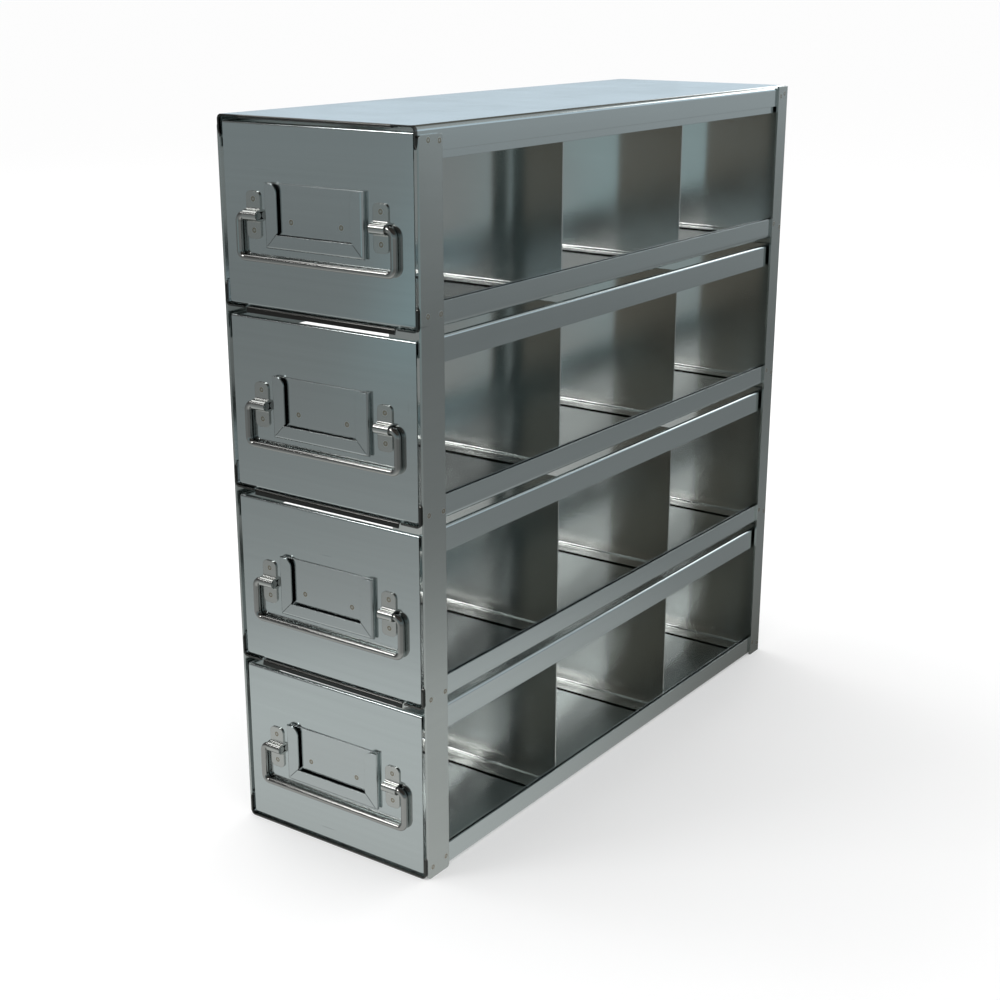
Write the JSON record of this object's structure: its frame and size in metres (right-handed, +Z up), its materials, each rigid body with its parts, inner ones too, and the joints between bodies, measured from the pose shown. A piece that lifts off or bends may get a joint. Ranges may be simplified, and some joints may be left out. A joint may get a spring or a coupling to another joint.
{
  "type": "freezer drawer rack",
  "caption": "Tall narrow stainless rack for an upright laboratory freezer: open sheet frame with pull-out drawers, each with cross dividers, a label holder and a folding wire handle.",
  "frame": {"origin": "centre of the footprint on the surface the rack stands on", "axes": "+X to the right seen from the front, -Y to the front where the drawers pull out, +Z up"},
  "size_m": [0.143, 0.4348, 0.4354],
  "materials": {
    "frame_sheet": "brushed stainless sheet, spot welded",
    "drawer_sheet": "brushed stainless sheet",
    "handle_wire": "polished stainless wire"
  },
  "bodies": {
    "frame": {"top_panel": "frame_sheet", "shelf_1": "frame_sheet", "shelf_2": "frame_sheet", "shelf_3": "frame_sheet", "bottom_shelf": "frame_sheet", "front_post_left": "frame_sheet", "front_post_right": "frame_sheet", "rear_post_left": "frame_sheet", "rear_post_right": "frame_sheet"},
    "drawer_1": {"drawer_1_tray": "drawer_sheet", "drawer_1_divider_front": "drawer_sheet", "drawer_1_divider_rear": "drawer_sheet", "drawer_1_rear_wall": "drawer_sheet", "drawer_1_rim_left": "drawer_sheet", "drawer_1_rim_right": "drawer_sheet", "drawer_1_label_holder": "drawer_sheet", "drawer_1_clip_left": "drawer_sheet", "drawer_1_clip_right": "drawer_sheet"},
    "handle_1": {"drawer_1_handle": "handle_wire"},
    "drawer_2": {"drawer_2_tray": "drawer_sheet", "drawer_2_divider_front": "drawer_sheet", "drawer_2_divider_rear": "drawer_sheet", "drawer_2_rear_wall": "drawer_sheet", "drawer_2_rim_left": "drawer_sheet", "drawer_2_rim_right": "drawer_sheet", "drawer_2_label_holder": "drawer_sheet", "drawer_2_clip_left": "drawer_sheet", "drawer_2_clip_right": "drawer_sheet"},
    "handle_2": {"drawer_2_handle": "handle_wire"},
    "drawer_3": {"drawer_3_tray": "drawer_sheet", "drawer_3_divider_front": "drawer_sheet", "drawer_3_divider_rear": "drawer_sheet", "drawer_3_rear_wall": "drawer_sheet", "drawer_3_rim_left": "drawer_sheet", "drawer_3_rim_right": "drawer_sheet", "drawer_3_label_holder": "drawer_sheet", "drawer_3_clip_left": "drawer_sheet", "drawer_3_clip_right": "drawer_sheet"},
    "handle_3": {"drawer_3_handle": "handle_wire"},
    "drawer_4": {"drawer_4_tray": "drawer_sheet", "drawer_4_divider_front": "drawer_sheet", "drawer_4_divider_rear": "drawer_sheet", "drawer_4_rear_wall": "drawer_sheet", "drawer_4_rim_left": "drawer_sheet", "drawer_4_rim_right": "drawer_sheet", "drawer_4_label_holder": "drawer_sheet", "drawer_4_clip_left": "drawer_sheet", "drawer_4_clip_right": "drawer_sheet"},
    "handle_4": {"drawer_4_handle": "handle_wire"}
  },
  "joints": [
    {"name": "drawer_1_slide", "type": "slide", "parent": "frame", "child": "drawer_1", "axis": [0, -1, 0], "range_m": [0, 0.38]},
    {"name": "handle_1_hinge", "type": "hinge", "parent": "drawer_1", "child": "handle_1", "pos_m": [0, -0.21446, 0.3811], "axis": [-1, 0, 0], "range_deg": [0, 180]},
    {"name": "drawer_2_slide", "type": "slide", "parent": "frame", "child": "drawer_2", "axis": [0, -1, 0], "range_m": [0, 0.38]},
    {"name": "handle_2_hinge", "type": "hinge", "parent": "drawer_2", "child": "handle_2", "pos_m": [0, -0.21446, 0.2719], "axis": [-1, 0, 0], "range_deg": [0, 180]},
    {"name": "drawer_3_slide", "type": "slide", "parent": "frame", "child": "drawer_3", "axis": [0, -1, 0], "range_m": [0, 0.38]},
    {"name": "handle_3_hinge", "type": "hinge", "parent": "drawer_3", "child": "handle_3", "pos_m": [0, -0.21446, 0.1627], "axis": [-1, 0, 0], "range_deg": [0, 180]},
    {"name": "drawer_4_slide", "type": "slide", "parent": "frame", "child": "drawer_4", "axis": [0, -1, 0], "range_m": [0, 0.38]},
    {"name": "handle_4_hinge", "type": "hinge", "parent": "drawer_4", "child": "handle_4", "pos_m": [0, -0.21446, 0.0535], "axis": [-1, 0, 0], "range_deg": [0, 180]}
  ]
}
